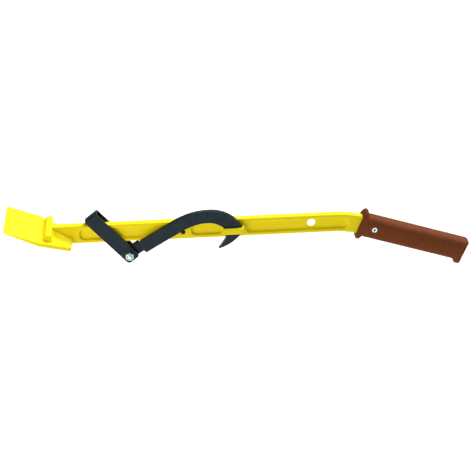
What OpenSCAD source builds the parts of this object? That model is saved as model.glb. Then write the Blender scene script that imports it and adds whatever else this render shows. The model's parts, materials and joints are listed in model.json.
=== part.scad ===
// Felling lever with a sliding strap and a turning hook.
// A forged I-section lever ends in a broad toe for prising a trunk over and in a moulded grip.
// A loose U-strap hangs on the shaft and carries a curved hook on a pivot bolt.
// The hook is drawn put away, with its claw behind the keeper on the shaft.
// Origin: centre of the hanging hole, on the centre line of the straight shaft.
// +X runs along the shaft towards the grip, +Z is up and -Y faces the hook side.

/* [Shaft] */
// Height of the I-section
shaft_h = 34; // [32:0.5:35]
// Width of the two flanges
flange_w = 12.5; // [12:0.1:12.7]
// Thickness of each flange
flange_t = 6.5; // [5:0.5:8]
// Thickness of the web between the side pockets
web_t = 4; // [3:0.5:5]
// Corner radius of the side pockets
pocket_r = 8; // [4:0.5:9]
// Angle by which the grip end drops below the shaft
bend_angle = 18.5; // [15:0.5:20]
// Centre line radius of the bend
bend_r = 160; // [140:5:190]
// Diameter of the hanging hole
hang_d = 14; // [10:0.5:16]

/* [Toe] */
// Slope of the toe plate against the shaft
toe_slope = 20.5; // [18:0.5:22]
// Width of the blade
toe_w = 88; // [80:1:96]
// Width of the heel end of the toe plate
heel_w = 68; // [60:1:76]
// Length of the tapered blade, from its tip to the heel
blade_l = 63.5; // [58:0.5:70]
// Length of the heel behind the blade
heel_l = 54; // [52:0.5:56]
// Thickness of the toe plate at the heel
toe_t = 7.5; // [6:0.5:8]
// Thickness of the blade at its tip
tip_t = 1.8; // [1.2:0.1:2.5]
// Width of the cross stop that halts the blade in the cut
stop_w = 65.5; // [60:0.5:70]

/* [Turning hook] */
// Thickness of the hook plate
hook_t = 8; // [7.5:0.1:8]
// Height of the hook's shank
shank_w = 23; // [22:0.2:23.4]
// Angle of the shank above the shaft when it is put away
shank_angle = 32.4; // [32:0.1:33]
// Radius of the eye round the pivot bolt
eye_r = 10.5; // [10:0.5:12]

/* [Strap] */
// Thickness of the strap
strap_t = 3; // [2.5:0.1:3]
// Clear space between the two legs
strap_gap = 13.3; // [13.3:0.1:13.6]
// Width of the legs
strap_w = 25.4; // [23:0.2:26]
// Length from the pivot to the outside of the bridge
strap_l = 98.4; // [97:0.2:100]
// Angle of the legs below the shaft when put away
strap_angle = 50.8; // [50:0.2:52]

/* [Grip] */
// Length of the grip
grip_l = 205; // [195:1:210]
// Height of the grip body
grip_h = 41; // [39:0.5:44]
// Width of the grip body
grip_w = 33; // [31:0.5:36]
// Rise of the collar and of the pommel above the body
collar_rise = 7.9; // [6:0.1:9]

/* [Hidden] */

// Colours
yellow = "#F2DF16";
hook_black = "#262C33";
zinc = "#C9D3D6";
brown = "#7A4129";
rubber_black = "#151515";
nylon_teal = "#4F9CA0";

// Shaft
edge_r = 1;
corner_fn = 32;
bore_fn = 64;
shaft_drop = 0.7;
vertex_x = 66.6;
bend_tangent = bend_r * tan(bend_angle / 2);
bend_x = vertex_x - bend_tangent;
pocket_d = (flange_w - web_t) / 2;
pocket_h = shaft_h - 2 * flange_t;
pocket_spans = [[-395, -236], [-206, -152]];
last_pocket_x = -112;
last_pocket_turn = 5.2;
arc_steps = 8;
bend_core_l = 12;
far = 400;

// Toe, forged in one with the shaft: the corner between blade and heel lies on its top face
toe_x = -459;
toe_z = 9.9;
tip_bevel = 2.5;
tip_corner = 2;
blade_lift = 1.8;
stop_x = -451;
stop_l = 10;
stop_right = stop_x + stop_l;
stop_top = shaft_h / 2;
stop_chamfer = 1;
stop_r = 8;
gusset_w = [10, 13.5];
gusset_h = [9.5, 3.5];
gusset_start = 16;
gusset_slice = 0.01;
sunk = 2;
heel_far = 28;
cut_start = -2;
cut_end = 15;

// Pivot of the hook, in the X-Z plane, and the bolt through it
pivot_x = -313.3;
pivot_z = -43.9;
bolt_r = 4;
running = 0.06;
nut_corner_r = 7.5;
head_t = 5.3;
nut_hex_t = 5.7;
nut_t = 8;
collar_nut_r = 6.2;
insert_r = 5.4;
bolt_tail = 1;

// Strap: its own X runs down the legs and its own Z across them
leg_out = strap_gap / 2 + strap_t;
bend_out = 5.5;
bend_in = bend_out - strap_t;
leg_end = 12.4;
leg_corner = 6;
washer_t = 2;
washer_r = 8;
washer_hole_r = 4.3;

// Hook: its own X runs along the shank and its own Z across it
shank_low = -9.2;
shank_top = shank_low + shank_w;
tongue_l = 27;
tongue_step = 4;
hook_gap = 0.75;
hook_back = -flange_w / 2 - hook_gap;
hook_front = hook_back - hook_t;
joggle_start = 23.5;
joggle_l = 4.5;
joggle_lag = 1.8;
outer_start = [100.9, shank_top];
inner_start = [98.1, shank_low];
outer_turns = [[110.4, 17.1], [111.2, 16], [61.4, 56.4], [19.4, 72.3], [73.7, 33.3]];
inner_turns = [[125.7, 10.4], [71.6, 21.8], [37.2, 54.7], [50.7, 6.6], [5.8, 52.2], [138.9, 12.0]];
arc_step = 6;

// Keeper: a bent strip, fast at its right end and open to the left, above and below
keeper_left = -153.7;
keeper_root = -119.8;
keeper_right = -116.8;
keeper_z = -0.5;
keeper_h = 11.8;
keeper_t = 3;
keeper_gap = 0.7;
keeper_front = hook_front - keeper_gap - keeper_t;
keeper_bend = 4;
keeper_weld = 2.5;
keeper_clear = 0.8;

// Rest buffer in the pad between the first two pockets
buffer_x = -220.4;
buffer_z = -4.6;
buffer_r = 3.6;
buffer_depth = 5;
buffer_proud = 0.45;

// Grip, in its own frame: X along its axis from the vertex of the bend, Z across it
grip_t0 = 15.8;
collar_t = 21.3;
collar_half = 6;
pommel_ramp = 9;
grip_end_r = 5;
grip_sides = 32;
grip_power = 2.8;
front_t = 18;
lip_power = 5;
tang_t0 = bend_tangent - 1;
tang_end = 200;
tang_w = 9;
tang_h = 24;
moulded_gap = 0.05;
rivet_t = 43.4;
rivet_n = 2;
rivet_r = 3;
rivet_bore_r = 2;
rivet_head_r = 4.6;
rivet_head_t = 1.4;
rivet_seat = grip_w / 2 - 0.9;
seat_r = 4.9;

// Frames
module toe_frame() {
    translate([toe_x, 0, toe_z]) rotate([0, toe_slope, 0]) children();
}

module grip_frame() {
    translate([vertex_x, 0, 0]) rotate([0, bend_angle, 0]) children();
}

module strap_frame() {
    translate([pivot_x, 0, pivot_z]) rotate([0, strap_angle, 0]) children();
}

module hook_frame() {
    translate([pivot_x, 0, pivot_z]) rotate([0, -shank_angle, 0]) children();
}

// A plate whose outline lies in the X-Z plane
module side_plate(thickness) {
    rotate([90, 0, 0]) linear_extrude(height = thickness, center = true) children();
}

// A bar whose section lies in the Y-Z plane, starting at x = 0
module bar_along_x(length) {
    rotate([90, 0, 90]) linear_extrude(height = length) children();
}

// A round rod along Y between two Y values
module rod_y(r, y0, y1, sides = bore_fn) {
    translate([0, y1, 0]) rotate([90, 0, 0]) cylinder(r = r, h = y1 - y0, $fn = sides);
}

// A rectangle with rounded corners, from its two opposite corners
module rounded_box(low, high, r) {
    size = high - low;
    translate(low + [r, 0]) square([size[0] - 2 * r, size[1]]);
    translate(low + [0, r]) square([size[0], size[1] - 2 * r]);
    for (x = [low[0] + r, high[0] - r]) {
        for (y = [low[1] + r, high[1] - r]) {
            translate([x, y]) circle(r = r, $fn = corner_fn);
        }
    }
}

function arc_points(c, r, from, to) = [for (i = [0:arc_steps])
    let (a = from + (to - from) * i / arc_steps) c + r * [cos(a), sin(a)]];

// Paths made of tangent arcs that all turn clockwise.
// A heading of 0 runs along +X and a turn of 90 ends heading down.
function turn_centre(p, r, heading) = p + r * [-sin(heading), -cos(heading)];
function on_turn(c, r, heading) = c + r * [sin(heading), cos(heading)];
function turn_points(p, r, heading, turn) =
    let (c = turn_centre(p, r, heading), steps = ceil(turn / arc_step))
    [for (i = [1:steps]) on_turn(c, r, heading + turn * i / steps)];
function path_points(p, turns, heading = 0, i = 0) =
    i == len(turns) ? [] :
    let (points = turn_points(p, turns[i][0], heading, turns[i][1]))
    concat(points, path_points(points[len(points) - 1], turns, heading + turns[i][1], i + 1));

// Shaft
module shaft_section(grow = 0) {
    half = [flange_w / 2 + grow, shaft_h / 2 + grow];
    translate([0, -shaft_drop]) rounded_box(-half, half, edge_r);
}

// The shaft stands on the toe plate, from the stop and its fillet on, and runs out below the heel
function on_toe(t, n) = [toe_x + t * cos(toe_slope) + n * sin(toe_slope),
                         toe_z - t * sin(toe_slope) + n * cos(toe_slope)];

module straight_shaft() {
    low = -shaft_h;
    heel_low = on_toe(heel_l, -toe_t);
    intersection() {
        translate([stop_right, 0, 0]) bar_along_x(bend_x - stop_right) shaft_section();
        side_plate(2 * flange_w) polygon(concat(
            [[stop_right, shaft_h]], right_fillet,
            [on_toe(heel_l, 0), heel_low, [heel_low[0] + heel_low[1] - low, low],
             [bend_x + 1, low], [bend_x + 1, shaft_h]]));
    }
}

// The section turned about the centre of the bend, through part of its angle
module bend_sweep(turn) {
    translate([bend_x, 0, -bend_r]) rotate([90, 0, 0]) rotate([0, 0, 90 - turn])
        rotate_extrude(angle = turn, $fn = 180) translate([bend_r, 0]) rotate(-90) children();
}

// A bar inside both lengths of the shaft, so that they are one piece where they meet
module bend_core() {
    size = [bend_core_l, flange_w - 2 * edge_r, shaft_h - 2 * edge_r];
    translate([bend_x - size[0] / 2, -size[1] / 2, -size[2] / 2 - shaft_drop]) cube(size);
}

module bent_shaft(grow = 0) {
    bend_sweep(bend_angle) shaft_section(grow);
}

module tang(grow = 0) {
    grip_frame() translate([tang_t0, -tang_w / 2 - grow, -tang_h / 2 - grow])
        cube([tang_end - tang_t0 + grow, tang_w + 2 * grow, tang_h + 2 * grow]);
}

// The near edge of the heel tapers, and its far edge is cut back behind the stop
module toe_plan() {
    half = toe_w / 2;
    heel = heel_w / 2;
    c = tip_corner;
    polygon([[-blade_l, -half + c], [-blade_l + c, -half], [0, -half],
             [heel_l - c, -heel], [heel_l, -heel + c],
             [heel_l, heel_far - c], [heel_l - c, heel_far], [cut_end, heel_far], [cut_start, half],
             [-blade_l + c, half], [-blade_l, half - c]]);
}

module toe_side() {
    polygon([[-blade_l, blade_lift - tip_t], [-blade_l, blade_lift - tip_t / 2],
             [-blade_l + tip_bevel, blade_lift * (1 - tip_bevel / blade_l)], [0, 0],
             [heel_l, 0], [heel_l, -toe_t], [0, -toe_t]]);
}

module toe_plate() {
    toe_frame() intersection() {
        translate([0, 0, -2 * toe_t]) linear_extrude(height = 3 * toe_t) toe_plan();
        side_plate(toe_w + 2) toe_side();
    }
}

// The plate curves up into both faces of the stop through hollow fillets
function fillet_centre(x) = [x, toe_z - (x - toe_x) * tan(toe_slope) + stop_r / cos(toe_slope)];
fillet_foot = 270 - toe_slope;
right_fillet = arc_points(fillet_centre(stop_right + stop_r), stop_r, 180, fillet_foot);

module cross_stop() {
    c = fillet_centre(stop_x - stop_r);
    left_fillet = arc_points(c, stop_r, fillet_foot, 360 - asin((c[1] - stop_top) / stop_r));
    side_plate(stop_w) polygon(concat(
        [left_fillet[0] + [1, -sunk]], left_fillet,
        [[stop_x + stop_chamfer, stop_top], [stop_right - stop_chamfer, stop_top],
         [stop_right, stop_top - stop_chamfer]], right_fillet,
        [right_fillet[arc_steps] - [sunk, sunk]]));
}

// Beside the shaft, high and narrow at the stop, low and wide at the heel
module gusset_end(x, side, w, h) {
    half = flange_w / 2;
    translate([x, 0, 0]) bar_along_x(gusset_slice)
        polygon([[side * half, -sunk], [side * half, h],
                 [side * (half + w), 0], [side * (half + w), -sunk]]);
}

module gusset(side) {
    toe_frame() hull() {
        gusset_end(gusset_start, side, gusset_w[0], gusset_h[0]);
        gusset_end(heel_l - gusset_slice, side, gusset_w[1], gusset_h[1]);
    }
}

module toe() {
    color(yellow) {
        toe_plate();
        cross_stop();
        for (side = [-1, 1]) {
            gusset(side);
        }
    }
}

module pocket_outline(x0, x1) {
    translate([0, -shaft_drop]) rounded_box([x0, -pocket_h / 2], [x1, pocket_h / 2], pocket_r);
}

// The last pocket follows the bend and ends square to it
module last_pocket_outline() {
    half = pocket_h / 2;
    inner = half - pocket_r;
    middle = bend_r - shaft_drop;
    centre = [bend_x, -bend_r];
    turn = last_pocket_turn;
    most = turn * (1 - 1 / arc_steps);
    end = [sin(turn), cos(turn)];
    left = last_pocket_x + pocket_r;
    polygon(concat(
        arc_points([left, inner - shaft_drop], pocket_r, 180, 90),
        arc_points(centre, middle + half, 90, 90 - most),
        arc_points(centre + (middle + inner) * end, pocket_r, 90 - turn, -turn),
        arc_points(centre + (middle - inner) * end, pocket_r, -turn, -90 - turn),
        arc_points(centre, middle - half, 90 - most, 90),
        arc_points([left, -inner - shaft_drop], pocket_r, 270, 180)));
}

module pockets() {
    for (side = [-1, 1]) {
        translate([0, side * (web_t / 2 + flange_w / 2), 0]) {
            for (span = pocket_spans) {
                side_plate(flange_w) pocket_outline(span[0], span[1]);
            }
            side_plate(flange_w) last_pocket_outline();
        }
    }
}

module rivet_hole() {
    grip_frame() translate([rivet_t, 0, rivet_n]) rod_y(rivet_r + moulded_gap, -far / 4, far / 4);
}

module shaft() {
    color(yellow) difference() {
        union() {
            straight_shaft();
            bent_shaft();
            bend_core();
            tang();
        }
        pockets();
        rod_y(hang_d / 2, -flange_w, flange_w);
        translate([buffer_x, 0, buffer_z])
            rod_y(buffer_r, -flange_w, -flange_w / 2 + buffer_depth);
        rivet_hole();
    }
}

// Keeper
module keeper_plan() {
    back = -flange_w / 2;
    difference() {
        union() {
            translate([keeper_left, keeper_front])
                square([keeper_right - keeper_bend - keeper_left, keeper_t]);
            translate([keeper_root, keeper_front + keeper_bend])
                square([keeper_right - keeper_root, back - keeper_front - keeper_bend]);
            translate([keeper_right - keeper_bend, keeper_front + keeper_bend])
                circle(r = keeper_bend, $fn = corner_fn);
            polygon([[keeper_right, back], [keeper_right, back - keeper_weld],
                     [keeper_right + keeper_weld, back]]);
        }
        translate([keeper_left, keeper_front + keeper_t])
            square([keeper_root - keeper_left, keeper_bend]);
    }
}

module keeper() {
    hook_reach = max([for (p = path_points(outer_start, outer_turns)) norm(p)]);
    color(yellow) difference() {
        translate([0, 0, keeper_z]) linear_extrude(height = keeper_h, center = true) keeper_plan();
        translate([pivot_x, 0, pivot_z])
            rod_y(hook_reach + keeper_clear, keeper_front + keeper_t, 0, 256);
    }
}

module rest_buffer() {
    face = -flange_w / 2;
    r = buffer_r - moulded_gap;
    dome = (r * r + buffer_proud * buffer_proud) / (2 * buffer_proud);
    color(rubber_black) translate([buffer_x, 0, buffer_z]) intersection() {
        rod_y(r, face - buffer_proud, face + buffer_depth - moulded_gap);
        translate([0, face - buffer_proud + dome, 0]) sphere(r = dome, $fn = bore_fn);
    }
}

// Strap
module strap_side() {
    inner = strap_gap / 2;
    difference() {
        rounded_box([-strap_l, -leg_out], [leg_end + bend_out, leg_out], bend_out);
        rounded_box([-strap_l + strap_t, -inner], [2 * leg_end + bend_out, inner], bend_in);
    }
}

module strap_outline() {
    half = strap_w / 2;
    translate([-strap_l - 1, -half]) square([strap_l + 1, strap_w]);
    rounded_box([-leg_end, -half], [leg_end, half], leg_corner);
}

module strap() {
    color(hook_black) strap_frame() difference() {
        intersection() {
            linear_extrude(height = strap_w + 2, center = true) strap_side();
            side_plate(3 * leg_out) strap_outline();
        }
        rod_y(bolt_r + running, -2 * leg_out, 2 * leg_out);
    }
}

// Hook
module hook_outline() {
    outer = path_points(outer_start, outer_turns);
    inner = path_points(inner_start, inner_turns);
    polygon(concat(
        [for (a = [270:-arc_step:90]) eye_r * [cos(a), sin(a)]],
        [[tongue_l, eye_r], [tongue_l + tongue_step, shank_top], outer_start], outer,
        [for (i = [len(inner) - 1:-1:0]) inner[i]],
        [inner_start, [tongue_l, shank_low]]));
}

// The plate seen from its edge: the tongue lies between the legs and the shank in front of them
module hook_edge() {
    half = hook_t / 2;
    back_start = joggle_start + joggle_lag;
    polygon([[-2 * eye_r, -half], [joggle_start, -half],
             [joggle_start + joggle_l, hook_front], [far, hook_front], [far, hook_back],
             [back_start + joggle_l, hook_back], [back_start, half], [-2 * eye_r, half]]);
}

module hook() {
    color(hook_black) hook_frame() difference() {
        intersection() {
            side_plate(far) hook_outline();
            linear_extrude(height = far, center = true) hook_edge();
        }
        rod_y(bolt_r + running, -hook_t, hook_t);
    }
}

// Pivot
module at_pivot() {
    translate([pivot_x, 0, pivot_z]) children();
}

module ring_y(outer_r, inner_r, y0, y1) {
    difference() {
        rod_y(outer_r, y0, y1);
        rod_y(inner_r, y0 - 1, y1 + 1);
    }
}

module spacer_washers() {
    play = (strap_gap / 2 - hook_t / 2 - washer_t) / 2;
    near = hook_t / 2 + play;
    color(zinc) at_pivot() {
        ring_y(washer_r, washer_hole_r, near, near + washer_t);
        ring_y(washer_r, washer_hole_r, -near - washer_t, -near);
    }
}

module pivot_bolt() {
    color(zinc) at_pivot() {
        rod_y(nut_corner_r, leg_out, leg_out + head_t, 6);
        rod_y(bolt_r, -leg_out - nut_t - bolt_tail, leg_out + 1);
    }
}

module lock_nut() {
    hex_y = -leg_out - nut_hex_t;
    color(zinc) at_pivot() difference() {
        union() {
            rod_y(nut_corner_r, hex_y, -leg_out, 6);
            rod_y(collar_nut_r, -leg_out - nut_t, hex_y + 1);
        }
        rod_y(bolt_r + running / 2, -leg_out - nut_t - 1, -leg_out + 1);
        rod_y(insert_r, -leg_out - nut_t - 1, hex_y - 0.3);
    }
}

module nut_insert() {
    hex_y = -leg_out - nut_hex_t;
    color(nylon_teal) at_pivot()
        ring_y(insert_r - running / 2, bolt_r + running / 2, -leg_out - nut_t + 0.3, hex_y - 0.35);
}

// Grip
function swell(t, centre, half) = abs(t - centre) < half ? sqrt(1 - pow((t - centre) / half, 2)) : 0;
function smooth(x) = let (s = min(max(x, 0), 1)) s * s * (3 - 2 * s);
grip_t1 = grip_t0 + grip_l;
function end_cut(t) = let (d = max(0, t - grip_t1 + grip_end_r))
    grip_end_r - sqrt(max(0, pow(grip_end_r, 2) - d * d));
function collar(t) = swell(t, collar_t, collar_half);
function pommel(t) = smooth((t - grip_t1 + 2 * pommel_ramp) / pommel_ramp);
function grip_up(t) = grip_h / 2 + collar_rise * collar(t) - end_cut(t);
function grip_down(t) = grip_h / 2 + collar_rise * (collar(t) + pommel(t)) - end_cut(t);
function grip_side(t) = grip_w / 2 - end_cut(t);
grip_stations = concat(
    [for (a = [-65:13:65]) collar_t + collar_half * sin(a)],
    [collar_t + collar_half, rivet_t - 10, rivet_t + 10, 80, 120, 160],
    [for (i = [0:6]) grip_t1 - 2 * pommel_ramp + i * (2 * pommel_ramp - grip_end_r) / 6],
    [for (a = [15:15:90]) grip_t1 - grip_end_r + grip_end_r * sin(a)]);

function bulge(c) = sign(c) * pow(abs(c), 2 / grip_power);
// The front is flat between the collar's two lips, and the lips stand ahead of it
function lip(t, s) = t + max(0, front_t - t) * (1 - pow(abs(s), lip_power));
function grip_ring(t) = [for (k = [0:grip_sides - 1])
    let (a = 360 * k / grip_sides, s = sin(a), high = s < 0 ? grip_down(t) : grip_up(t))
    [lip(t, s), grip_side(t) * bulge(cos(a)), high * bulge(s)]];
// A cap of level strips across one ring, from one side to the other
function cap(at, half) = [for (k = [0:half / 2 - 1], up = [1, -1])
    let (n = 2 * half, a = at + (n + up * k) % n, b = at + (n + up * (k + 1)) % n,
         c = at + (n + half - up * (k + 1)) % n, d = at + (n + half - up * k) % n)
    each up > 0 ? [[a, b, c], [a, c, d]] : [[a, c, b], [a, d, c]]];
function turned(faces) = [for (f = faces) [f[0], f[2], f[1]]];

module grip_body() {
    n = grip_sides;
    last = len(grip_stations) - 1;
    points = [for (t = grip_stations) each grip_ring(t)];
    walls = [for (i = [0:last - 1], k = [0:n - 1])
        let (a = i * n + k, b = i * n + (k + 1) % n)
        each [[a, b + n, b], [a, a + n, b + n]]];
    polyhedron(points = points,
               faces = concat(walls, cap(0, n / 2), turned(cap(last * n, n / 2))));
}

module grip() {
    color(brown) difference() {
        grip_frame() grip_body();
        bent_shaft(moulded_gap);
        tang(moulded_gap);
        rivet_hole();
        for (side = [-1, 1]) {
            grip_frame() translate([rivet_t, side * (rivet_seat + grip_w / 2), rivet_n])
                rod_y(seat_r, -grip_w / 2, grip_w / 2);
        }
    }
}

module grip_rivet() {
    reach = rivet_seat + rivet_head_t;
    lip = rivet_head_t / 2;
    color(zinc) grip_frame() translate([rivet_t, 0, rivet_n]) rotate([90, 0, 0])
        rotate_extrude($fn = bore_fn) {
            translate([rivet_bore_r, -reach]) square([rivet_r - rivet_bore_r, 2 * reach]);
            for (side = [-1, 1]) {
                translate([rivet_bore_r, side * (rivet_seat + lip) - lip])
                    square([rivet_head_r - rivet_bore_r - lip, 2 * lip]);
                translate([rivet_head_r - lip, side * (rivet_seat + lip)])
                    circle(r = lip, $fn = corner_fn);
            }
        }
}

toe();
shaft();
keeper();
rest_buffer();
strap();
hook();
spacer_washers();
pivot_bolt();
lock_nut();
nut_insert();
grip();
grip_rivet();
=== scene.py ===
# %% Load the model
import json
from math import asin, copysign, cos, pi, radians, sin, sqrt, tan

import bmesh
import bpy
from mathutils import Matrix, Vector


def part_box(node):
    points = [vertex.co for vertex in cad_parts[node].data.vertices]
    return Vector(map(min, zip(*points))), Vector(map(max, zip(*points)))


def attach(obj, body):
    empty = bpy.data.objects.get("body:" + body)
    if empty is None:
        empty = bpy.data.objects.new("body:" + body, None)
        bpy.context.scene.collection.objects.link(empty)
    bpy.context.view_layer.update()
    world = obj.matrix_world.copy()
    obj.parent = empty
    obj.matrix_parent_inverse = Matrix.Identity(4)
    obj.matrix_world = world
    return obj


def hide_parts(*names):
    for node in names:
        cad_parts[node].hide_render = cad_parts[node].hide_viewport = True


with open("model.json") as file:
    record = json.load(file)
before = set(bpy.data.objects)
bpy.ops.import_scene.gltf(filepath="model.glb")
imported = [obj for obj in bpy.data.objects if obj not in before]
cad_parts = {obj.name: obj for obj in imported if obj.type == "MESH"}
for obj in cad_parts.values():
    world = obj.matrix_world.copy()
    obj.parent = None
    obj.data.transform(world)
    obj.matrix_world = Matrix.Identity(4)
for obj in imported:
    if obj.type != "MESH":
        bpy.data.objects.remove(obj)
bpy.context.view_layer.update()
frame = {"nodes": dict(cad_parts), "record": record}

# %% [markdown]
# # A felling lever with a turning hook
# The object is a forestry hand tool, about 80 cm long. A forged yellow lever ends in a broad toe,
# which prises a sawn trunk off its stump, and in a brown moulded grip. A loose strap hangs on the
# shaft and carries a curved hook, which turns a trunk that has hung up in another tree.
# The frame holds every solid at its real place and size, so each piece here is made where the frame
# says. This lesson sets the camera and the light, mixes one finish for each real surface, and then
# makes the pieces one by one.

MM = 0.001
scene = bpy.context.scene


def mm(x, y, z):
    return Vector((x, y, z)) * MM


def as_object(name, bm):
    """An object in the scene with the bmesh as its mesh. The bmesh is used up."""
    mesh = bpy.data.meshes.new(name)
    bm.to_mesh(mesh)
    bm.free()
    obj = bpy.data.objects.new(name, mesh)
    scene.collection.objects.link(obj)
    return obj


joint_at = {joint["name"]: Vector(joint["pos_m"]) for joint in frame["record"]["behaviour"]["joints"]}
pivot = joint_at["hook_swing"]
print("nodes:", len(frame["nodes"]), "pivot of the hook:", tuple(pivot))

# %% [markdown]
# ## The camera
# The photograph looks down on the lever at about 32 degrees, from a little left of its middle. A
# long lens keeps the far end nearly as large as the near one. The camera's place came from matching
# the outline of the blade, the shaft and the grip, so it is written as plain numbers. Aiming it with
# to_track_quat is simpler than working out its angles, and it keeps the horizon level.

# %% Camera
CAMERA_AT, CAMERA_AIM, LENS = mm(-279.2, -1689.6, 1041.1), mm(-131.4, 0.0, -18.7), 89.07
camera = bpy.data.objects.new("studio_camera", bpy.data.cameras.new("studio_camera"))
scene.collection.objects.link(camera)
camera.location = CAMERA_AT
camera.rotation_euler = (CAMERA_AIM - CAMERA_AT).to_track_quat("-Z", "Y").to_euler()
camera.data.lens = LENS
scene.camera = camera
print("camera distance in mm:", round((CAMERA_AIM - CAMERA_AT).length / MM))

# %% [markdown]
# ## Helpers for nodes and colour
# Every finish below is built from nodes. One small function adds a node, sets what it is given and
# links the rest. Paint and plastic colours are written the way a picture editor shows them, as sRGB
# hex values, and one function turns them into the linear values that light is computed with. A third
# tells the rays that show a thing, in the picture or in a reflection, from those that only light it.

# %% Node and colour helpers
def linear(hex_colour):
    channels = [int(hex_colour[i:i + 2], 16) / 255 for i in (1, 3, 5)]
    return [c / 12.92 if c <= 0.04045 else ((c + 0.055) / 1.055) ** 2.4 for c in channels] + [1.0]


def add_node(tree, kind, inputs, **settings):
    node = tree.nodes.new(kind)
    for name, value in settings.items():
        setattr(node, name, value)
    for socket, value in inputs.items():
        if isinstance(value, bpy.types.NodeSocket):
            tree.links.new(value, node.inputs[socket])
        else:
            node.inputs[socket].default_value = value
    return node


def new_finish(name):
    material = bpy.data.materials.new(name)
    material.use_nodes = True
    material.node_tree.nodes.clear()
    return material.node_tree, material


def is_seen(tree):
    """1 for a ray from the camera, off a gloss or through glass, and 0 for one that only lights."""
    ray = add_node(tree, "ShaderNodeLightPath", {}).outputs
    seen = ray["Is Camera Ray"]
    for kind in ("Is Glossy Ray", "Is Transmission Ray"):
        seen = add_node(tree, "ShaderNodeMath", {0: seen, 1: ray[kind]}, operation="MAXIMUM").outputs[0]
    return seen


def mix_colour(tree, factor, first, second):
    """The first colour where factor is 0, and the second where it is 1. The colours go into sockets
    6 and 7 of the Mix node, whose lower ones are for numbers and vectors."""
    return add_node(tree, "ShaderNodeMix", {0: factor, 6: first, 7: second}, data_type="RGBA").outputs[2]


print("a mid grey, linear:", [round(c, 3) for c in linear("#808080")])

# %% [markdown]
# ## The studio
# The picture tells where its light came from. Top faces are bright, the side towards the camera is
# a step darker, and the hook throws its soft shadow up onto the shaft, not down. So the main softbox
# hangs high behind the tool on the grip's side, and the near side is lit from below, by the glow of
# the white table. A wide, weak lamp stands in for that glow: it shines up from below the table, which
# casts no shadow of its own. Towards the toe the shaft turns more golden, as if a warm reflector
# stood near the toe, so a small warm lamp is there. A world of one even colour is the tent. Suns are
# used as softboxes because their light doesn't fall off, so the table stays equally pale everywhere.
# Table and world are plain white for the camera and for reflections. The Standard view transform
# shows colours as they are written, without a film curve.

# %% World, lamps and floor
scene.view_settings.view_transform = "Standard"
TENT_LIGHT = 0.26
FLOOR_BOUNCE, FLOOR_HALF, FLOOR_Z = "#A0A0A0", 12, -0.34
WARM_CARD_AT, WARM_CARD_AIM, WARM_CARD_SIDE = mm(-760, -620, 170), mm(-400, 0, 0), 0.4

world = bpy.data.worlds.new("white_tent")
scene.world = world
world.use_nodes = True
tree = world.node_tree
tree.nodes.clear()
lighting = add_node(tree, "ShaderNodeBackground", {"Color": (1, 1, 1, 1), "Strength": TENT_LIGHT})
backdrop = add_node(tree, "ShaderNodeBackground", {"Color": (1, 1, 1, 1), "Strength": 1.0})
either = add_node(tree, "ShaderNodeMixShader", {0: is_seen(tree), 1: lighting.outputs[0],
                                                2: backdrop.outputs[0]})
add_node(tree, "ShaderNodeOutputWorld", {"Surface": either.outputs[0]})


def sun(name, azimuth, elevation, strength, spread):
    """A lamp that shines from that direction. Azimuth 0 is the camera's side, and 90 is the grip's."""
    lamp = bpy.data.objects.new(name, bpy.data.lights.new(name, "SUN"))
    a, e = radians(azimuth), radians(elevation)
    toward = Vector((sin(a) * cos(e), -cos(a) * cos(e), sin(e)))
    lamp.rotation_euler = toward.to_track_quat("Z", "Y").to_euler()
    lamp.data.energy = strength
    lamp.data.angle = radians(spread)
    scene.collection.objects.link(lamp)


sun("overhead_softbox", azimuth=132, elevation=52, strength=4.5, spread=50)
sun("table_glow", azimuth=-25, elevation=-32, strength=1.42, spread=60)

warm_card = bpy.data.objects.new("warm_card", bpy.data.lights.new("warm_card", "AREA"))
warm_card.location = WARM_CARD_AT
warm_card.rotation_euler = (WARM_CARD_AT - WARM_CARD_AIM).to_track_quat("Z", "Y").to_euler()
warm_card.data.size = WARM_CARD_SIDE
warm_card.data.energy = 2.1
warm_card.data.color = (1.0, 0.72, 0.4)
scene.collection.objects.link(warm_card)

floor_bm = bmesh.new()
bmesh.ops.create_grid(floor_bm, x_segments=1, y_segments=1, size=FLOOR_HALF)
bmesh.ops.translate(floor_bm, verts=floor_bm.verts, vec=(0, 0, FLOOR_Z))
floor = as_object("studio_floor", floor_bm)
floor.visible_shadow = False

tree, paper = new_finish("white_paper_roll")
shade = mix_colour(tree, is_seen(tree), linear(FLOOR_BOUNCE), (1, 1, 1, 1))
matt = add_node(tree, "ShaderNodeBsdfDiffuse", {"Color": shade})
add_node(tree, "ShaderNodeOutputMaterial", {"Surface": matt.outputs[0]})
floor.data.materials.append(paper)
print("studio ready")

# %% [markdown]
# ### Black flags
# The black pieces show a trick of product photographers. Their top edges are nearly black where they
# slope to the left or the right, and light only where they are level. A glossy coat mirrors what
# stands behind the tool, so there was a white gap straight behind it, between two black cards, called
# flags. Two cards on a wide arc do the same here. They are there for reflections only: neither the
# camera nor the light of the lamps meets them.

# %% Flags
FLAG_DISTANCE, FLAG_LOW, FLAG_HIGH, FLAG_STEP = 5.0, -0.33, 6.5, 4
FLAG_ARCS = {"left": (96, 164), "right": (188, 256)}
tree, card = new_finish("black_card")
ink = add_node(tree, "ShaderNodeBsdfDiffuse", {"Color": linear("#060606")})
add_node(tree, "ShaderNodeOutputMaterial", {"Surface": ink.outputs[0]})

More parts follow.
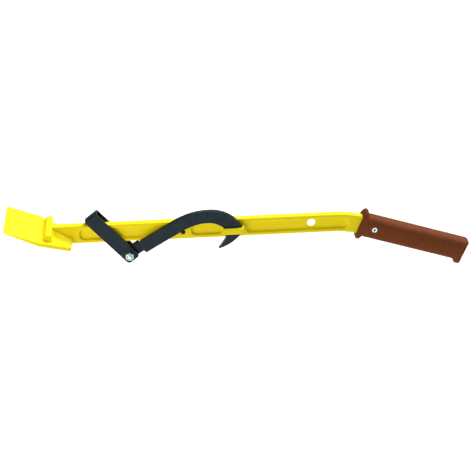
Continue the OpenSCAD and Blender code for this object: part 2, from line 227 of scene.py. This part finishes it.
for side, (first, last) in FLAG_ARCS.items():
    flag_bm = bmesh.new()
    rows = [[flag_bm.verts.new((-FLAG_DISTANCE * sin(radians(a)), -FLAG_DISTANCE * cos(radians(a)), z))
             for a in range(first, last + 1, FLAG_STEP)] for z in (FLAG_LOW, FLAG_HIGH)]
    for i in range(len(rows[0]) - 1):
        flag_bm.faces.new((rows[0][i], rows[0][i + 1], rows[1][i + 1], rows[1][i]))
    flag = as_object("flag_" + side, flag_bm)
    flag.data.materials.append(card)
    flag.visible_camera = flag.visible_diffuse = flag.visible_shadow = flag.visible_transmission = False
print("flags ready")

# %% [markdown]
# ## The finishes
# Each finish starts from what the surface really is and how it was made. The patterns are sized in
# millimetres on Object coordinates, so they keep their scale on every piece and stay still when the
# pieces move. Most of them are finer than the picture can show, so they are drawn as coarse as they
# need to be to show at all.

# %% Patterns and surface
NOISE_RANGE = (0.3, 0.7)


def noise(tree, size, detail=3.0, roughness=0.5, stretch=None):
    """Noise of that size in millimetres, longer along an axis where stretch is above 1."""
    place = add_node(tree, "ShaderNodeTexCoord", {}).outputs["Object"]
    if stretch:
        place = add_node(tree, "ShaderNodeMapping", {0: place, 3: [1 / s for s in stretch]}).outputs[0]
    return add_node(tree, "ShaderNodeTexNoise", {"Vector": place, "Scale": 1 / (size * MM),
                                                 "Detail": detail, "Roughness": roughness}).outputs["Fac"]


def blend(tree, factor, low, high, dark, light):
    """A colour between dark and light as factor goes from low to high."""
    ramp = add_node(tree, "ShaderNodeValToRGB", {"Fac": factor})
    ramp.color_ramp.elements[0].position, ramp.color_ramp.elements[1].position = low, high
    ramp.color_ramp.elements[0].color, ramp.color_ramp.elements[1].color = linear(dark), linear(light)
    return ramp.outputs["Color"]


def span(tree, factor, low, high):
    """The factor, which is noise that seldom leaves NOISE_RANGE, spread over a range of values."""
    start, end = NOISE_RANGE
    return add_node(tree, "ShaderNodeMapRange", {0: factor, 1: start, 2: end, 3: low, 4: high}).outputs[0]


def bump(tree, height, depth, normal=None):
    """A bump as deep as that many millimetres."""
    inputs = {"Height": height, "Distance": depth * MM, "Strength": 1.0}
    if normal:
        inputs["Normal"] = normal
    return add_node(tree, "ShaderNodeBump", inputs).outputs[0]


def surface(tree, **inputs):
    shader = add_node(tree, "ShaderNodeBsdfPrincipled", {k.replace("_", " "): v for k, v in inputs.items()})
    add_node(tree, "ShaderNodeOutputMaterial", {"Surface": shader.outputs[0]})


print("finish helpers ready")

# %% [markdown]
# ### Yellow powder coat
# The lever is a drop forging, shot-blasted and powder coated. Powder melts into a thick, even skin
# that softens every edge and dries with a faint orange peel, with bumps about 2 mm apart. Under it
# the forging is never quite flat, which gives the long, slow waves in the highlights. It is a
# dielectric, so its gloss comes from roughness alone.

# %% Yellow powder coat
tree, powder_coat = new_finish("yellow_powder_coat")
waves = noise(tree, 38, detail=2.0, stretch=(3.0, 1.0, 1.0))
peel = noise(tree, 1.9, detail=2.0)
surface(tree,
        Base_Color=blend(tree, waves, 0.35, 0.65, "#EEDC14", "#F2E416"),
        Roughness=span(tree, waves, 0.36, 0.46),
        IOR=1.5,
        Specular_IOR_Level=0.09,
        Normal=bump(tree, peel, 0.035, bump(tree, waves, 0.5)))
print("made", powder_coat.name)

# %% [markdown]
# ### Black coated steel
# The hook and the strap are hot-formed steel with a thin black-blue coat. The coat is so thin that
# the scale pits of the hot steel show through as a fine, uneven grain about 1 mm across, and the
# sheen changes from patch to patch. The colour is a very dark blue-grey rather than a true black.

# %% Black coated steel
tree, black_coat = new_finish("black_coated_forged_steel")
patches = noise(tree, 11, detail=4.0)
pits = noise(tree, 1.1, detail=4.0, roughness=0.6)
surface(tree,
        Base_Color=blend(tree, patches, 0.35, 0.7, "#131B20", "#1A242A"),
        Roughness=span(tree, patches, 0.32, 0.44),
        IOR=1.45,
        Specular_IOR_Level=0.25,
        Specular_Tint=(0.55, 0.78, 1.0, 1.0),
        Normal=bump(tree, pits, 0.05, bump(tree, patches, 0.25)))
print("made", black_coat.name)

# %% [markdown]
# ### Bright zinc plate
# The bolt, nut, washers and eyelet are steel with a few micrometres of zinc under a clear blue
# passivate. Metal has no diffuse colour of its own: what is seen is the white tent, tinted a little
# blue-green. Barrel plating leaves tiny dents and a satin haze.

# %% Bright zinc plate
tree, zinc_plate = new_finish("blue_passivated_zinc_plate")
haze = noise(tree, 2.6, detail=3.0)
surface(tree,
        Base_Color=blend(tree, haze, 0.35, 0.7, "#B2D4D2", "#D8F1EE"),
        Metallic=1.0,
        Roughness=span(tree, haze, 0.2, 0.34),
        Normal=bump(tree, noise(tree, 0.7, detail=2.0), 0.012))
print("made", zinc_plate.name)

# %% [markdown]
# ### Brown moulded grip
# The grip is moulded from a fibre-filled brown plastic. The mould is spark-eroded, which leaves a
# fine leathery grain, and the filler shows as darker and redder specks. The specks are really about
# 0.3 mm; here they are near 1.5 mm, so that they show in a picture of the whole tool.

# %% Brown moulded plastic
SPECK_SHARE = 0.55
tree, moulded_brown = new_finish("brown_fibre_filled_plastic")
specks = noise(tree, 1.5, detail=4.0, roughness=0.65)
clouds = noise(tree, 24, detail=2.0)
body_colour = blend(tree, clouds, 0.3, 0.7, "#693A1D", "#744020")
speck_colour = blend(tree, specks, 0.34, 0.66, "#412312", "#944E2E")
surface(tree,
        Base_Color=mix_colour(tree, SPECK_SHARE, body_colour, speck_colour),
        Roughness=span(tree, specks, 0.5, 0.68),
        IOR=1.5,
        Specular_IOR_Level=0.05,
        Normal=bump(tree, noise(tree, 1.2, detail=3.0), 0.09))
print("made", moulded_brown.name)

# %% [markdown]
# ### Black rubber and teal nylon
# The rest buffer is moulded rubber: nearly black and matt, with a faint bloom. The ring in the lock
# nut is dyed nylon, a smooth waxy plastic. Both are tiny here, so each has one soft variation only.

# %% Rubber and nylon
tree, buffer_rubber = new_finish("black_moulded_rubber")
bloom = noise(tree, 1.6)
surface(tree,
        Base_Color=blend(tree, bloom, 0.3, 0.7, "#0C0C0D", "#1A1B1C"),
        Roughness=span(tree, bloom, 0.62, 0.8),
        IOR=1.52,
        Specular_IOR_Level=0.1,
        Normal=bump(tree, bloom, 0.03))

tree, ring_nylon = new_finish("teal_dyed_nylon")
dye = noise(tree, 2.0)
surface(tree,
        Base_Color=blend(tree, dye, 0.3, 0.7, "#1F757B", "#2F8D93"),
        Roughness=span(tree, dye, 0.34, 0.46),
        IOR=1.53,
        Normal=bump(tree, dye, 0.02))
print("made", buffer_rubber.name, "and", ring_nylon.name)

# %% [markdown]
# ## Making a piece
# A finished bmesh becomes an object at the origin, with its place in its mesh, so it sits exactly
# where the frame's node is and turns with the same body. Faces are smooth, and edges sharper than
# 40 degrees stay crisp. Weighted normals keep the large flat faces flat between rounded edges.

# %% From bmesh to piece
MERGE_WITHIN = 0.002


def make_piece(name, bm, finish, body, nodes, crisp=40, flat_faces=True):
    """The finished piece. Edges sharper than crisp degrees stay sharp."""
    bmesh.ops.recalc_face_normals(bm, faces=bm.faces)
    obj = as_object(name, bm)
    obj.data.shade_smooth()
    obj.data.set_sharp_from_angle(angle=radians(crisp))
    obj.data.materials.append(finish)
    if flat_faces:
        obj.modifiers.new("flat_faces", "WEIGHTED_NORMAL").keep_sharp = True
    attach(obj, body)
    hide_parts(*nodes)
    print(name, "faces:", len(obj.data.polygons))


def solid_of(node):
    """A copy of the node's solid, with its loose triangles merged."""
    bm = bmesh.new()
    bm.from_mesh(frame["nodes"][node].data)
    bmesh.ops.remove_doubles(bm, verts=bm.verts, dist=MERGE_WITHIN * MM)
    return bm


def join(*parts):
    """Several bmeshes in one."""
    bm = bmesh.new()
    for part in parts:
        mesh = bpy.data.meshes.new("part")
        part.to_mesh(mesh)
        part.free()
        bm.from_mesh(mesh)
        bpy.data.meshes.remove(mesh)
    return bm


def modified(obj):
    """The object's mesh with its modifiers applied, as a bmesh. The object is used up."""
    bm = bmesh.new()
    bm.from_mesh(obj.evaluated_get(bpy.context.evaluated_depsgraph_get()).to_mesh())
    bpy.data.objects.remove(obj)
    return bm


def cut(bm, tool):
    """The solid bm with the solid tool taken out of it."""
    body, cutter = as_object("cut_body", bm), as_object("cutter", tool)
    step = body.modifiers.new("cut", "BOOLEAN")
    step.object, step.operation, step.solver = cutter, "DIFFERENCE", "EXACT"
    result = modified(body)
    bpy.data.objects.remove(cutter)
    return result


print("piece helpers ready")

# %% [markdown]
# ## Rounding edges
# A real edge is never sharp, and its small radius catches the light. A bevel rounds it. A plate that
# was cut from its sheet has two kinds of edges: its corners run through its thickness and are ground
# round, and the edges of its two faces are only just broken. Angles above 110 degrees are points,
# like the tip of the claw, and stay as they are.

# %% Rounded edges
FLAT_WITHIN, ROUND_FROM, POINTED = 0.6, 28, 110
PLATE_CORNER_FROM, PLATE_CORNER_R = 60, 2.2
EDGE_STEPS, CORNER_STEPS = 3, 5


def through_plate(edge):
    """Whether the edge runs through the thickness of a plate, along Y."""
    return abs((edge.verts[1].co - edge.verts[0].co).normalized().y) > 0.9


def bends(edge, low):
    """Whether the faces meet there at an angle from low to POINTED."""
    return len(edge.link_faces) == 2 and radians(low) < edge.calc_face_angle() < radians(POINTED)


def bevel(bm, edges, radius, steps):
    bmesh.ops.bevel(bm, geom=edges, offset=radius * MM, offset_type="OFFSET", affect="EDGES",
                    segments=steps, profile=0.5, material=-1, clamp_overlap=False)


def rounded(bm, radius, cut_plate=False):
    """The solid with its edges rounded to that radius in mm. On a cut plate that goes for the edges
    of its two faces, and its corners get their own radius first."""
    bmesh.ops.dissolve_limit(bm, angle_limit=radians(FLAT_WITHIN), verts=bm.verts, edges=bm.edges)
    if cut_plate:
        corners = [e for e in bm.edges if through_plate(e) and bends(e, PLATE_CORNER_FROM)]
        bevel(bm, corners, PLATE_CORNER_R, CORNER_STEPS)
    sharp = [e for e in bm.edges if bends(e, ROUND_FROM) and not (cut_plate and through_plate(e))]
    bevel(bm, sharp, radius, EDGE_STEPS)
    return bm


print("rounds edges from", ROUND_FROM, "to", POINTED, "degrees")

# %% [markdown]
# ## The lever
# Blade, cross stop, I-section shaft and tang are one forging, which the frame holds as a toe and a
# shaft that touch. The dies leave no sharp corner anywhere: the pockets have sloping walls and hollow
# corners, and the powder coat fills them a little more. Bevelling each edge could round the corners
# but would leave a seam where the two solids meet. So copies of both are laid in one mesh and skinned
# anew with small even faces, as if shrink-wrapped, and a few passes of smoothing melt the skin at
# every edge and in every hollow, also where toe and shaft meet.

# %% Lever
SKIN_FACE, MELT_FACTOR, MELT_PASSES = 1.05, 0.5, 6


def forged(bm):
    """The solids of bm under one new skin with faces of SKIN_FACE mm, smoothed over and over."""
    raw = as_object("raw_forging", bm)
    wrap = raw.modifiers.new("wrap", "REMESH")
    wrap.mode, wrap.voxel_size = "VOXEL", SKIN_FACE * MM
    melt = raw.modifiers.new("melt", "SMOOTH")
    melt.factor, melt.iterations = MELT_FACTOR, MELT_PASSES
    return modified(raw)


make_piece("forged_lever", forged(join(solid_of("toe"), solid_of("shaft"))), powder_coat,
           "lever_body", ["toe", "shaft"], flat_faces=False)

# %% [markdown]
# ## The keeper
# A strip of flat steel, bent once and welded to the shaft. The claw of the hook slides in behind it
# from the left. Its edges were sheared and tumbled, so they are crisper than those of the forging.

# %% Keeper
KEEPER_EDGE_R = 0.45
make_piece("hook_keeper", rounded(solid_of("keeper"), KEEPER_EDGE_R), powder_coat, "lever_body",
           ["keeper"])

# %% [markdown]
# ## The strap
# The U-strap is bent from flat bar and slides along the shaft. Its outside bends are round already,
# and the edges of the bar have a mill radius of half a millimetre or so.

# %% Strap
STRAP_EDGE_R = 0.5
make_piece("sliding_strap", rounded(solid_of("strap"), STRAP_EDGE_R), black_coat, "strap_body",
           ["strap"])

# %% [markdown]
# ## The hook
# The hook is cut from 8 mm plate and hot-bent sideways behind its eye, so that the shank lies beside
# the shaft while the tongue lies between the legs of the strap. The edges of the plate's faces are
# just broken, which draws a thin light line along the top of the arch. Its corners are ground round,
# and the claw ends in a point that bites into wood.

# %% Hook
HOOK_EDGE_R = 0.4
make_piece("turning_hook", rounded(solid_of("hook"), HOOK_EDGE_R, cut_plate=True), black_coat,
           "hook_body", ["hook"])

# %% [markdown]
# ## Turned pieces
# Bolt, washers, eyelet, nylon ring and rubber buffer are all round. A lathe cuts a profile into a
# spinning bar, and spin does the same: the profile is a row of points, each a radius and a place
# along Y, and a full spin with use_merge closes it without a seam.

# %% Spinning a profile
LATHE_STEPS, AXIS_MERGE = 48, 0.001


def turned(profile, centre, closed=False):
    """The profile, pairs of radius and place along Y in mm, spun about the Y axis through centre."""
    bm = bmesh.new()
    verts = [bm.verts.new(mm(radius, along, 0)) for radius, along in profile]
    edges = [bm.edges.new(pair) for pair in zip(verts, verts[1:])]
    if closed:
        edges.append(bm.edges.new((verts[-1], verts[0])))
    bmesh.ops.spin(bm, geom=verts + edges, cent=(0, 0, 0), axis=(0, 1, 0), angle=2 * pi,
                   steps=LATHE_STEPS, use_merge=True, use_duplicate=False)
    bmesh.ops.remove_doubles(bm, verts=bm.verts, dist=AXIS_MERGE * MM)
    bmesh.ops.translate(bm, verts=bm.verts, vec=centre)
    return bm


def ring_profile(inner, outer, y0, y1, edge):
    """A flat ring with its four corners broken."""
    return [(inner, y0 + edge), (inner + edge, y0), (outer - edge, y0), (outer, y0 + edge),
            (outer, y1 - edge), (outer - edge, y1), (inner + edge, y1), (inner, y1 - edge)]


print("lathe ready:", LATHE_STEPS, "steps to a turn")

# %% [markdown]
# ## The washers beside the tongue
# Two plain washers keep the tongue centred between the legs of the strap. Stamping leaves one edge
# of a washer rounded; here both edges are broken by a quarter of a millimetre.

# %% Spacer washers
low, high = (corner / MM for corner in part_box("spacer_washers"))
washer_r = (high.x - low.x) / 2
WASHER_T, WASHER_HOLE_R, WASHER_EDGE = 2.0, 4.3, 0.25
near_and_far = [turned(ring_profile(WASHER_HOLE_R, washer_r, y0, y1, WASHER_EDGE), pivot, closed=True)
                for y0, y1 in ((low.y, low.y + WASHER_T), (high.y - WASHER_T, high.y))]
make_piece("spacer_washers_turned", join(*near_and_far), zinc_plate, "strap_body",
           ["spacer_washers"])

# %% [markdown]
# ## The hexagon of bolt and nut
# A hexagon is pressed from round bar, and then its corners are turned off at 30 degrees, which leaves
# the curved edges that every nut and bolt head has. To get them, a circle of many points is extruded
# from ring to ring, and each ring is pulled out to the hexagon. Where a point of the hexagon lies
# outside the turned cone, it is moved down onto the cone.

# %% Hexagon helper
HEX_POINTS, RIM_SHARE, CHAMFER = 72, 0.97, tan(radians(30))


def loft(points, rings, place):
    """A ring of points, extruded from ring to ring. place(ring, turn) says where a point goes."""
    bm = bmesh.new()
    turn = bm.verts.layers.int.new("turn")
    verts = bmesh.ops.create_circle(bm, segments=points, radius=1.0)["verts"]
    for number, vert in enumerate(verts):
        vert[turn] = number
    edges = bm.edges[:]
    for number, ring in enumerate(rings):
        if number:
            new = bmesh.ops.extrude_edge_only(bm, edges=edges)["geom"]
            edges = [g for g in new if isinstance(g, bmesh.types.BMEdge)]
            verts = [g for g in new if isinstance(g, bmesh.types.BMVert)]
        for vert in verts:
            vert.co = place(ring, 2 * pi * vert[turn] / points)
    return bm


def hexagon(across_corners, y0, y1, bore, toward):
    """A hexagon with a round bore, from y0 to y1 mm on the pivot. Its corners are turned off on the
    face that looks toward -Y or +Y, where toward is -1 or 1. The rings run from the back of the bore
    round to its face, and a bridge between the last and the first is the bore's wall."""
    flat = across_corners / 2 * cos(pi / 6)
    rim = flat * RIM_SHARE
    back, face = (y1, y0) if toward < 0 else (y0, y1)

    def place(ring, angle):
        hexed = flat / cos((angle + pi / 6) % (pi / 3) - pi / 6)
        radius = {"hex": hexed, "rim": rim, "bore": bore}[ring[0]]
        along = ring[1]
        if ring == ("hex", face):
            along -= toward * max(0.0, hexed - rim) * CHAMFER
        return pivot + mm(radius * cos(angle), along, radius * sin(angle))

    rings = [("bore", back), ("hex", back), ("hex", face), ("rim", face), ("bore", face)]
    bm = loft(HEX_POINTS, rings, place)
    bmesh.ops.bridge_loops(bm, edges=[e for e in bm.edges if e.is_boundary])
    return bm


print("hexagon ready:", HEX_POINTS, "points to a ring")

# %% [markdown]
# ### The nut
# It is a nylon-insert lock nut: below, a hexagon 13 mm across its flats; above, a round collar that
# was rolled in over the nylon ring. The collar is turned as one profile and the hexagon is joined to
# it, so that the nut is one piece, as it is in steel.

# %% Lock nut
low, high = (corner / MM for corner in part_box("lock_nut"))
nut_back, nut_face = high.y, low.y
HEX_T, COLLAR_R, COLLAR_LIP, BORE_R, INSERT_R = 5.7, 6.2, 4.9, 4.03, 5.4
SMALL_CRISP = 25
hex_face = nut_back - HEX_T
collar = turned([(INSERT_R, hex_face - 0.3), (INSERT_R, nut_face + 0.75),
                 (COLLAR_LIP + 0.25, nut_face + 0.35), (COLLAR_LIP, nut_face + 0.12),
                 (COLLAR_LIP + 0.15, nut_face), (COLLAR_R - 0.75, nut_face + 0.08),
                 (COLLAR_R - 0.2, nut_face + 0.5), (COLLAR_R, nut_face + 1.1),
                 (COLLAR_R, hex_face), (COLLAR_R - 0.1, hex_face + 0.3)], pivot, closed=True)
nut_hex = hexagon(high.x - low.x, hex_face, nut_back, BORE_R, -1)
make_piece("nylon_insert_nut", join(nut_hex, collar), zinc_plate, "strap_body", ["lock_nut"],
           crisp=SMALL_CRISP)

# %% [markdown]
# ### The nylon ring
# The ring lies inside the rolled collar, and the thread of the bolt presses into it. It shows as a
# thin teal line between collar and bolt.

# %% Nylon ring
low, high = (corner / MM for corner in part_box("nut_insert"))
RING_EDGE = 0.3
ring = ring_profile(BORE_R, (high.x - low.x) / 2, low.y, high.y, RING_EDGE)
make_piece("nylon_ring", turned(ring, pivot, closed=True), ring_nylon, "strap_body", ["nut_insert"])

# %% [markdown]
# ### The bolt
# The end of the bolt shows in the ring, with a chamfer and the last turns of its thread. The thread
# is a row of rings with flat crests and not a spiral, which no one can tell at this size, and it
# stops where the shank turns plain. The head is the same hexagon as the nut's, with a narrow bore
# that a turned core fills.

# %% Pivot bolt
low, high = (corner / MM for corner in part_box("pivot_bolt"))
HEAD_T, BOLT_R, HEAD_BORE, OVERLAP = 5.3, 4.0, 1.0, 0.05
FIRST_GROOVE, INTO_HEAD, CORE_INSET = 0.1, 0.2, 0.1
PITCH, THREAD_DEPTH, THREAD_LENGTH, CREST_R, CREST = 1.25, 0.6, 11.0, BOLT_R - 0.06, (0.44, 0.56)
END_FLAT_R, END_CHAMFER = 2.0, 0.9
head_back = high.y - HEAD_T
thread_end = low.y + THREAD_LENGTH
shank = [(0.0, low.y), (END_FLAT_R, low.y), (BOLT_R - THREAD_DEPTH, low.y + END_CHAMFER)]
along = low.y + END_CHAMFER + THREAD_DEPTH + FIRST_GROOVE
while along < thread_end:
    shank += [(BOLT_R - THREAD_DEPTH, along)] + [(CREST_R, along + PITCH * share) for share in CREST]
    along += PITCH
shank += [(BOLT_R - THREAD_DEPTH, along), (BOLT_R, along + THREAD_DEPTH),
          (BOLT_R, head_back + INTO_HEAD), (0.0, head_back + INTO_HEAD)]
bolt_head = hexagon(high.x - low.x, head_back, high.y, HEAD_BORE, 1)
core_r = HEAD_BORE + OVERLAP
head_core = turned([(0.0, head_back + CORE_INSET), (core_r, head_back + CORE_INSET),
                    (core_r, high.y - OVERLAP), (0.0, high.y - OVERLAP)], pivot)
make_piece("pivot_bolt_threaded", join(turned(shank, pivot), bolt_head, head_core), zinc_plate,
           "strap_body", ["pivot_bolt"], crisp=SMALL_CRISP)

# %% [markdown]
# ## The rest buffer
# A rubber plug is pressed into a drilled hole in the shaft. The shank of the hook rests against its
# dome instead of rattling on the steel. The dome is a short arc in the profile.

# %% Rest buffer
low, high = (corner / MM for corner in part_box("rest_buffer"))
buffer_centre = mm((low.x + high.x) / 2, 0, (low.z + high.z) / 2)
buffer_r = (high.x - low.x) / 2
DOME, DOME_STEPS, BUFFER_EDGE = 0.45, 6, 0.4
dome_r = (buffer_r ** 2 + DOME ** 2) / (2 * DOME)
arc = [asin(buffer_r / dome_r) * step / DOME_STEPS for step in range(DOME_STEPS + 1)]
plug = [(dome_r * sin(a), low.y + dome_r * (1 - cos(a))) for a in arc]
plug += [(buffer_r, high.y - BUFFER_EDGE), (buffer_r - BUFFER_EDGE, high.y), (0.0, high.y)]
make_piece("rest_buffer_domed", turned(plug, buffer_centre), buffer_rubber, "lever_body",
           ["rest_buffer"], flat_faces=False)

# %% [markdown]
# ## The grip
# The grip is moulded round the tang. Its section is a rounded oval, taller than it is wide. Just
# behind its front it swells into a collar with a lip above and below the shaft, and at its back into
# a pommel below. Its end is gently domed from side to side. A ring of points is extruded along the
# grip's axis, from station to station, and each ring is scaled to the section there. The last rings
# stay at the end and only grow narrower, which carries the dome across it. Then the socket for the
# forging and the seats for the eyelet are cut out of it, as the mould leaves them.

# %% Grip section
BEND_ANGLE, BEND_VERTEX = 18.5, 66.6
GRIP_H, GRIP_W, GRIP_START, GRIP_LENGTH = 41.0, 33.0, 15.8, 205.0
COLLAR_AT, COLLAR_HALF, COLLAR_RISE = 22.8, 4.4, 7.9
FRONT_T, SECTION_POWER = 18.0, 2.8
POMMEL_RAMP, END_R, SIDES = 9.0, 5.0, 64
END_DOME, DOME_LENGTH, END_SHARES = 4.0, 14.0, (0.75, 0.5, 0.25, 0.05)
PLAIN_STATIONS = [30, 38, 46, 60, 80, 100, 120, 140, 160, 180, 195]
grip_end = GRIP_START + GRIP_LENGTH
to_grip = Matrix.Translation(mm(BEND_VERTEX, 0, 0)) @ Matrix.Rotation(radians(BEND_ANGLE), 4, "Y")


def collar_swell(t):
    """How much of the collar's rise there is at t mm along the grip's axis."""
    return sqrt(max(0.0, 1 - ((t - COLLAR_AT) / COLLAR_HALF) ** 2))


def pommel_swell(t):
    """The same for the pommel, which rises along a soft ramp."""
    s = min(max((t - grip_end + 2 * POMMEL_RAMP) / POMMEL_RAMP, 0.0), 1.0)
    return s * s * (3 - 2 * s)


def end_cut(t):
    """How far the rounded edge of the end has fallen back at t."""
    d = max(0.0, t - grip_end + END_R)
    return END_R - sqrt(max(0.0, END_R ** 2 - d ** 2))


def grip_point(station, angle):
    """A point of the section at a station, which is a place t along the axis and a share of the
    width. The first point is half a step of turn off, so that the middle plane lies between two."""
    t, narrow = station
    across, up = cos(angle + pi / SIDES), sin(angle + pi / SIDES)
    rise = collar_swell(t) + (pommel_swell(t) if up < 0 else 0.0)
    high = GRIP_H / 2 + COLLAR_RISE * rise - end_cut(t)
    wide = GRIP_W / 2 - end_cut(t)
    square = 2 / SECTION_POWER
    along = t - END_DOME * (across * narrow) ** 2 * max(0.0, 1 - (grip_end - t) / DOME_LENGTH)
    return to_grip @ mm(along, copysign(abs(across) ** square, across) * wide * narrow,
                        copysign(abs(up) ** square, up) * high)


stations = [FRONT_T]
stations += [COLLAR_AT + COLLAR_HALF * sin(radians(a)) for a in range(-65, 91, 8)]
stations += [COLLAR_AT + COLLAR_HALF] + PLAIN_STATIONS
stations += [grip_end - 2 * POMMEL_RAMP + POMMEL_RAMP * i / 8 for i in range(9)]
stations += [grip_end - END_R - 2 + i for i in range(2)]
stations += [grip_end - END_R + END_R * sin(radians(a)) for a in range(0, 91, 10)]
print("grip stations:", len(stations), "from", round(stations[0], 1), "to", round(stations[-1], 1))
stations = [(t, 1.0) for t in stations] + [(grip_end, share) for share in END_SHARES]

# %% [markdown]
# ### Closing and cutting the grip
# Each end is closed with level strips: the left half of its rim is bridged to the right half, so
# the front stays straight from side to side between the two lips. A boolean cuts the socket, because
# the forging in the frame is the exact thing that the plastic was moulded round.

# %% Grip
grip_bm = loft(SIDES, stations, grip_point)
for at_front in (True, False):
    rim = [e for e in grip_bm.edges if e.is_boundary
           and ((to_grip.inverted() @ e.verts[0].co).x < GRIP_LENGTH / 2 * MM) == at_front]
    sides = [e for e in rim if e.verts[0].co.y * e.verts[1].co.y > 0]
    bmesh.ops.bridge_loops(grip_bm, edges=sides)
bmesh.ops.recalc_face_normals(grip_bm, faces=grip_bm.faces)
print("open edges left on the grip:", sum(e.is_boundary for e in grip_bm.edges))

RIVET_T, RIVET_N, RIVET_R = 43.4, 2.0, 3.05
SEAT_R, SEAT_DEPTH, CUT_REACH, GRIP_CRISP = 4.9, 0.9, 30, 50
seat = GRIP_W / 2 - SEAT_DEPTH
rivet_at = to_grip @ mm(RIVET_T, 0, RIVET_N)
eyelet_hole = turned([(0, -CUT_REACH), (SEAT_R, -CUT_REACH), (SEAT_R, -seat), (RIVET_R, -seat),
                      (RIVET_R, seat), (SEAT_R, seat), (SEAT_R, CUT_REACH), (0, CUT_REACH)], rivet_at)
bmesh.ops.recalc_face_normals(eyelet_hole, faces=eyelet_hole.faces)
grip_bm = cut(cut(grip_bm, solid_of("shaft")), eyelet_hole)
make_piece("moulded_grip", grip_bm, moulded_brown, "lever_body", ["grip"],
           crisp=GRIP_CRISP, flat_faces=False)

# %% [markdown]
# ## The eyelet
# A tubular rivet holds the grip to the tang, and its open bore takes a wrist cord. Rolling its ends
# over gives each flange a round lip. The whole rivet is one closed profile, spun once.

# %% Eyelet
low, high = (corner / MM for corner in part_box("grip_rivet"))
reach = high.y
EYE_BORE, EYE_OUT, HEAD_R, LIP = 2.0, 3.0, 4.6, 0.7
FLARE = [(0.0, 0.9), (0.25, 0.3), (0.9, 0.0)]
lip_arc = [radians(a) for a in range(-90, 91, 22)]
profile = [(EYE_BORE + wider, -reach + inside) for wider, inside in FLARE]
profile += [(HEAD_R - LIP + LIP * cos(a), -reach + LIP + LIP * sin(a)) for a in lip_arc]
profile += [(EYE_OUT, -reach + 2 * LIP), (EYE_OUT, reach - 2 * LIP)]
profile += [(HEAD_R - LIP + LIP * cos(a), reach - LIP + LIP * sin(a)) for a in lip_arc]
profile += [(EYE_BORE + wider, reach - inside) for wider, inside in reversed(FLARE)]
make_piece("cord_eyelet", turned(profile, rivet_at, closed=True), zinc_plate, "lever_body",
           ["grip_rivet"])
